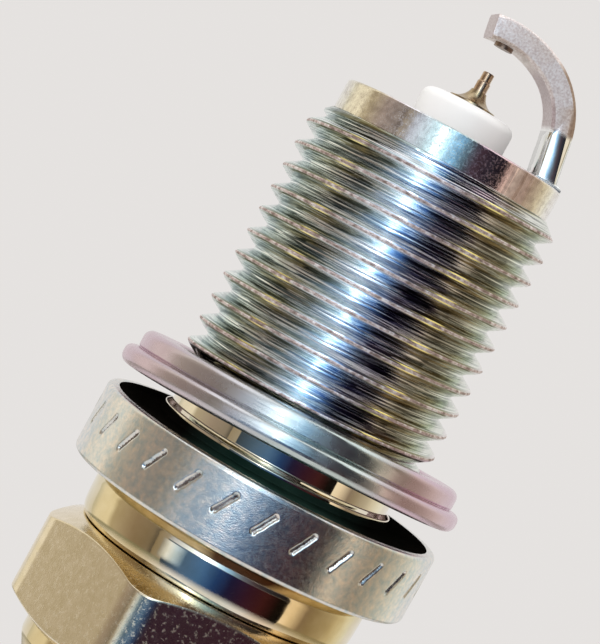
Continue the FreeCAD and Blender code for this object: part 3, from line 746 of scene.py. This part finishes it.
turn("insulator_nose", rounded([
    (NOSE_CONE_R, NOSE_CONE_Z, 0), (NOSE_R, NOSE_STRAIGHT_Z, 2.0), (NOSE_R, NOSE_END_Z, 0.5),
    (WIRE_BORE_R, NOSE_END_Z, 0.05), (WIRE_BORE_R, WIRE_BORE_SKIN_Z, 0)], 8),
    "plug", alumina, "ceramic_insulator")

# The first rib has no upper corner, because the head above it has the same radius.
head_outline = [(HEAD_R, HEAD_TOP_Z, 0)]
for k in range(RIBS):
    z = RIB_FIRST_Z - RIB_PITCH * k
    if k:
        head_outline.append((HEAD_R, z + RIB_HALF, RIB_HALF))
    head_outline.append((HEAD_R, z - RIB_HALF, RIB_HALF))
    head_outline.append((RIB_WAIST_R, z - WAIST_TOP, RIB_HALF))
    head_outline.append((RIB_WAIST_R, z - WAIST_END, RIB_HALF))
head_outline.append((HEAD_FOOT_R, HEAD_FOOT_Z, 0.3))
head_outline.append((HEAD_END_R, HEAD_END_Z, 0.1))
head_outline.append((STUD_BORE_R, HEAD_END_Z, 0))
turn("insulator_head", rounded(head_outline, 5), "plug", glazed, "ceramic_insulator")

# ---- ground electrode ---------------------------------------------------------------------------

def softened(name, node, body, material, width):
    """The CAD solid with its sharp edges rounded off over that width."""
    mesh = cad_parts[node].data.copy()
    shape = bmesh.new()
    shape.from_mesh(mesh)
    bmesh.ops.remove_doubles(shape, verts=shape.verts, dist=1e-6)
    bmesh.ops.dissolve_limit(shape, angle_limit=math.radians(1), verts=shape.verts, edges=shape.edges)
    sharp = [e for e in shape.edges if len(e.link_faces) == 2 and e.calc_face_angle(0) > math.radians(50)]
    bmesh.ops.bevel(shape, geom=sharp, offset=width * MM, offset_type="OFFSET", segments=4, profile=0.5,
                    affect="EDGES", clamp_overlap=True)
    bmesh.ops.triangulate(shape, faces=[f for f in shape.faces if len(f.verts) > 4])
    shape.to_mesh(mesh)
    shape.free()
    mesh.materials.clear()
    mesh.materials.append(material)
    mesh.polygons.foreach_set("use_smooth", [True] * len(mesh.polygons))
    mesh.set_sharp_from_angle(angle=math.radians(35))
    obj = bpy.data.objects.new(name, mesh)
    bpy.context.collection.objects.link(obj)
    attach(obj, body)
    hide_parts(node)


softened("earth_bar", "ground_electrode", "plug", nickel, 0.27)

# ---- nodes that keep their CAD mesh -------------------------------------------------------------

cad_looks = {
    "ground_electrode_pad": dark_brown_pad, "centre_electrode": olive, "iridium_tip": fine,
    "centre_electrode_core": copper, "lower_glass_seal": dark_glass, "resistor": carbon,
    "upper_glass_seal": dark_glass, "terminal_stud": steel, "terminal_nut": steel,
    "lower_packing_ring": steel, "rear_packing_ring": steel, "talc_ring": talc,
    "crimp_packing_ring": steel,
}
for node, material in cad_looks.items():
    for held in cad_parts[node].material_slots:
        held.material = material

# ---- floor, light and camera --------------------------------------------------------------------

def add_card(name, azimuths, elevations, stops, distance=0.4, fade=0.12):
    """A curved softbox or dark flag round the plug, seen only in reflections. Azimuth 0 is the camera's side
    and grows to its right. stops are (azimuth, colour) along it; it fades out at its upper and lower edge."""
    (a0, a1), (e0, e1) = azimuths, elevations
    columns, rows = max(6, int((a1 - a0) / 3)), 12
    verts, faces, uvs = [], [], []
    for i in range(columns + 1):
        for k in range(rows + 1):
            a = math.radians(a0 + (a1 - a0) * i / columns - 90)
            e = math.radians(e0 + (e1 - e0) * k / rows)
            flat = distance * math.cos(e)
            verts.append((flat * math.cos(a), flat * math.sin(a), distance * math.sin(e)))
            uvs.append((i / columns, k / rows))
    for i in range(columns):
        for k in range(rows):
            n = i * (rows + 1) + k
            faces.append((n, n + 1, n + rows + 2, n + rows + 1))
    mesh = bpy.data.meshes.new(name)
    mesh.from_pydata(verts, [], faces)
    layer = mesh.uv_layers.new(name="span")
    for loop in mesh.loops:
        layer.data[loop.index].uv = uvs[loop.vertex_index]
    obj = bpy.data.objects.new(name, mesh)
    bpy.context.collection.objects.link(obj)
    mat = bpy.data.materials.new(name)
    mat.use_nodes = True
    tree = mat.node_tree
    tree.nodes.clear()
    coords = tree.nodes.new("ShaderNodeTexCoord")
    split = tree.nodes.new("ShaderNodeSeparateXYZ")
    tree.links.new(coords.outputs["UV"], split.inputs[0])
    places = [((at - a0) / (a1 - a0), colour) for at, colour in stops]
    glow = tree.nodes.new("ShaderNodeEmission")
    tree.links.new(ramp(tree, split.outputs["X"], places), glow.inputs["Color"])
    edge = ramp(tree, split.outputs["Y"], [
        (0.0, BLACK), (fade, WHITE), (1 - fade, WHITE), (1.0, BLACK)])
    clear = tree.nodes.new("ShaderNodeBsdfTransparent")
    mix = tree.nodes.new("ShaderNodeMixShader")
    out = tree.nodes.new("ShaderNodeOutputMaterial")
    tree.links.new(edge, mix.inputs[0])
    tree.links.new(clear.outputs[0], mix.inputs[1])
    tree.links.new(glow.outputs[0], mix.inputs[2])
    tree.links.new(mix.outputs[0], out.inputs["Surface"])
    mesh.materials.append(mat)
    obj.visible_camera = False
    obj.visible_shadow = False
    obj.visible_diffuse = False


# The cards, named by their place as the camera sees it. A piece mirrors the lamp and the colours beside it.
add_card("front_lamp", (-42, 14), (-5, 78), [
    (-42, (0.45, 0.46, 0.50)), (-34, (0.66, 0.68, 0.72)), (-22, (1.05, 1.15, 1.22)),
    (-15, (1.6, 1.85, 2.0)), (-11, (5.0, 5.2, 5.4)), (-7, (2.0, 2.4, 2.8)), (0, (0.80, 1.1, 1.4)),
    (7, (0.35, 0.60, 0.90)), (14, (0.22, 0.32, 0.42))], fade=0.012)
add_card("front_low", (-42, 61), (-89, -4.6), [
    (-42, (0.05, 0.07, 0.10)), (-22, (0.08, 0.15, 0.27)), (-10, (0.07, 0.16, 0.33)),
    (3, (0.018, 0.05, 0.16)), (14, (0.014, 0.011, 0.04)), (29, (0.035, 0.010, 0.020)),
    (42, (0.050, 0.013, 0.014)), (54, (0.007, 0.005, 0.004)),
    (61, (0.006, 0.005, 0.005))], distance=0.39, fade=0.004)
add_card("front_right", (13, 61), (-5, 78), [
    (13, (0.22, 0.32, 0.42)), (20, (0.12, 0.13, 0.16)), (30, (0.07, 0.05, 0.06)), (42, (0.03, 0.03, 0.04)),
    (61, (0.012, 0.01, 0.012))], distance=0.395, fade=0.01)
add_card("right_near", (60, 80), (-40, 44), [
    (60, (0.7, 0.6, 0.45)), (62, (0.98, 0.86, 0.68)), (68, (0.85, 0.72, 0.55)), (80, (0.26, 0.20, 0.15))],
    fade=0.03)
add_card("right_near_low", (60, 80), (-82, -39), [
    (60, (0.006, 0.005, 0.006)), (80, (0.28, 0.20, 0.06))], fade=0.02)
add_card("right_mid", (79, 106), (-30, 44), [
    (79, (0.26, 0.20, 0.15)), (88, (0.32, 0.26, 0.18)), (106, (0.50, 0.44, 0.34))], fade=0.05)
add_card("right_bright", (106, 140), (-40, 60), [
    (106, (0.50, 0.44, 0.34)), (114, (0.66, 0.60, 0.47)), (130, (0.82, 0.80, 0.70)),
    (140, (0.8, 0.8, 0.76))])
add_card("right_low", (79, 130), (-82, -29), [
    (79, (0.28, 0.20, 0.06)), (105, (0.30, 0.22, 0.08)), (122, (0.40, 0.36, 0.18)),
    (130, (0.6, 0.6, 0.45))],
    fade=0.03)
add_card("left_near", (-52, -41), (-30, 50), [(-52, (0.34, 0.28, 0.20)), (-41, (0.40, 0.36, 0.30))],
         fade=0.03)
add_card("left_mid", (-99, -51), (-30, 50), [
    (-99, (0.50, 0.44, 0.34)), (-74, (0.34, 0.28, 0.23)), (-56, (0.28, 0.24, 0.20)),
    (-51, (0.10, 0.09, 0.08))],
    fade=0.03)
add_card("left_bright", (-134, -98), (-60, 60), [
    (-134, (0.62, 0.60, 0.52)), (-124, (0.85, 0.80, 0.70)), (-104, (0.90, 0.85, 0.74)),
    (-98, (0.50, 0.44, 0.34))])
add_card("left_low", (-122, -41), (-82, -29), [
    (-122, (0.10, 0.15, 0.11)), (-108, (0.06, 0.075, 0.035)), (-70, (0.07, 0.075, 0.03)),
    (-41, (0.10, 0.12, 0.12))],
    distance=0.39, fade=0.03)
add_card("under_back", (61, 318), (-90, -18), [(61, (0.34, 0.30, 0.22)), (318, (0.30, 0.31, 0.25))],
         distance=0.385, fade=0.03)
add_card("front_edge", (-46, -25), (-18, -8), [
    (-46, (0.35, 0.34, 0.33)), (-39, (0.95, 1.0, 1.05)), (-33, (0.60, 0.75, 0.90)),
    (-25, (0.10, 0.19, 0.32))],
    distance=0.37, fade=0.3)
add_card("overhead", (-180, 180), (52, 90), [(-180, (1.2, 1.2, 1.2)), (180, (1.2, 1.2, 1.2))], distance=0.45,
         fade=0.1)

# Lamp, world and floor, in metres and watts.
KEY_SIZE = 0.3
KEY_POWER = 1.15
KEY_PLACE = (-0.25, -0.36, 0.30)
PAPER = (0.785, 0.762, 0.746)
SKY_TINT = (1.0, 0.985, 0.97)
SKY_LEVEL = 0.76
FLOOR_HALF = 0.6
FLOOR_GAP = 0.0001
FLOOR_ROUGH = 0.8
FLOOR_FADE = (0.07, 0.13)      # distances from its middle between which the floor melts into the backdrop

key_light = bpy.data.lights.new("key", "AREA")
key_light.size = KEY_SIZE
key_light.energy = KEY_POWER
key = bpy.data.objects.new("key", key_light)
bpy.context.collection.objects.link(key)
key.location = KEY_PLACE
key.rotation_euler = (-key.location).to_track_quat("-Z", "Y").to_euler()
key.visible_glossy = False

world = bpy.data.worlds.new("studio")
bpy.context.scene.world = world
world.use_nodes = True
sky = world.node_tree
sky.nodes.clear()
light_path = sky.nodes.new("ShaderNodeLightPath")
diffuse_light = sky.nodes.new("ShaderNodeBackground")
diffuse_light.inputs["Color"].default_value = (*SKY_TINT, 1)
diffuse_light.inputs["Strength"].default_value = SKY_LEVEL
backdrop = sky.nodes.new("ShaderNodeBackground")
backdrop.inputs["Color"].default_value = (*PAPER, 1)
backdrop.inputs["Strength"].default_value = 1.0
either = sky.nodes.new("ShaderNodeMath")
either.operation = "MAXIMUM"
any_of = sky.nodes.new("ShaderNodeMath")
any_of.operation = "MAXIMUM"
mix = sky.nodes.new("ShaderNodeMixShader")
out = sky.nodes.new("ShaderNodeOutputWorld")
sky.links.new(light_path.outputs["Is Camera Ray"], either.inputs[0])
sky.links.new(light_path.outputs["Is Glossy Ray"], either.inputs[1])
sky.links.new(either.outputs[0], any_of.inputs[0])
sky.links.new(light_path.outputs["Is Transmission Ray"], any_of.inputs[1])
sky.links.new(any_of.outputs[0], mix.inputs[0])
sky.links.new(diffuse_light.outputs[0], mix.inputs[1])
sky.links.new(backdrop.outputs[0], mix.inputs[2])
sky.links.new(mix.outputs[0], out.inputs[0])

floor_mesh = bpy.data.meshes.new("floor")
corners = [(-1, -1), (1, -1), (1, 1), (-1, 1)]
floor_mesh.from_pydata([(x * FLOOR_HALF, y * FLOOR_HALF, 0) for x, y in corners], [], [(0, 1, 2, 3)])
floor = bpy.data.objects.new("floor", floor_mesh)
bpy.context.collection.objects.link(floor)
floor.location = (0, 0, cad_box[0][2] - FLOOR_GAP)
floor_mat, floor_tree, floor_shader, floor_coords = start_material("floor_paper")
floor_shader.inputs["Base Color"].default_value = (*PAPER, 1)
floor_shader.inputs["Roughness"].default_value = FLOOR_ROUGH
away = floor_tree.nodes.new("ShaderNodeVectorMath")
away.operation = "LENGTH"
floor_tree.links.new(floor_coords, away.inputs[0])
fade = span(floor_tree, away.outputs["Value"], 0, 1, *FLOOR_FADE)
see_through = floor_tree.nodes.new("ShaderNodeBsdfTransparent")
floor_mix = floor_tree.nodes.new("ShaderNodeMixShader")
floor_out = next(n for n in floor_tree.nodes if n.type == "OUTPUT_MATERIAL")
floor_tree.links.new(fade, floor_mix.inputs[0])
floor_tree.links.new(floor_shader.outputs[0], floor_mix.inputs[1])
floor_tree.links.new(see_through.outputs[0], floor_mix.inputs[2])
floor_tree.links.new(floor_mix.outputs[0], floor_out.inputs["Surface"])
floor_mesh.materials.append(floor_mat)
# The plug stands on its nut. The floor goes down with the nut when it is drawn off, so it never hides it.
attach(floor, "terminal_cap")

# Camera: on the -Y side, a little above the collar, rolled so that the plug leans to the right. Distances in
# millimetres, angles in radians.
CAMERA_BACK = 111.546
CAMERA_UP = 12.768
CAMERA_PITCH = 0.051
CAMERA_YAW = 0.021
CAMERA_ROLL = 0.501
SENSOR = 36
LENS_PIXELS = 2209.403
PICTURE_HEIGHT = 644
LENS_OVER_SENSOR = LENS_PIXELS / PICTURE_HEIGHT

camera_data = bpy.data.cameras.new("camera")
camera_data.sensor_width = SENSOR
camera_data.lens = SENSOR * LENS_OVER_SENSOR
camera_data.clip_start = 0.01
camera = bpy.data.objects.new("camera", camera_data)
bpy.context.collection.objects.link(camera)
level = Matrix(((1, 0, 0), (0, 0, -1), (0, 1, 0)))
rows = (Matrix.Rotation(CAMERA_ROLL, 3, "Z") @ Matrix.Rotation(CAMERA_PITCH, 3, "X")
        @ Matrix.Rotation(CAMERA_YAW, 3, "Y") @ level)
turned = Matrix((rows[0], -rows[1], -rows[2])).transposed()
camera.matrix_world = Matrix.Translation((0, -CAMERA_BACK * MM, CAMERA_UP * MM)) @ turned.to_4x4()
bpy.context.scene.camera = camera

bpy.context.scene.view_settings.view_transform = "Standard"
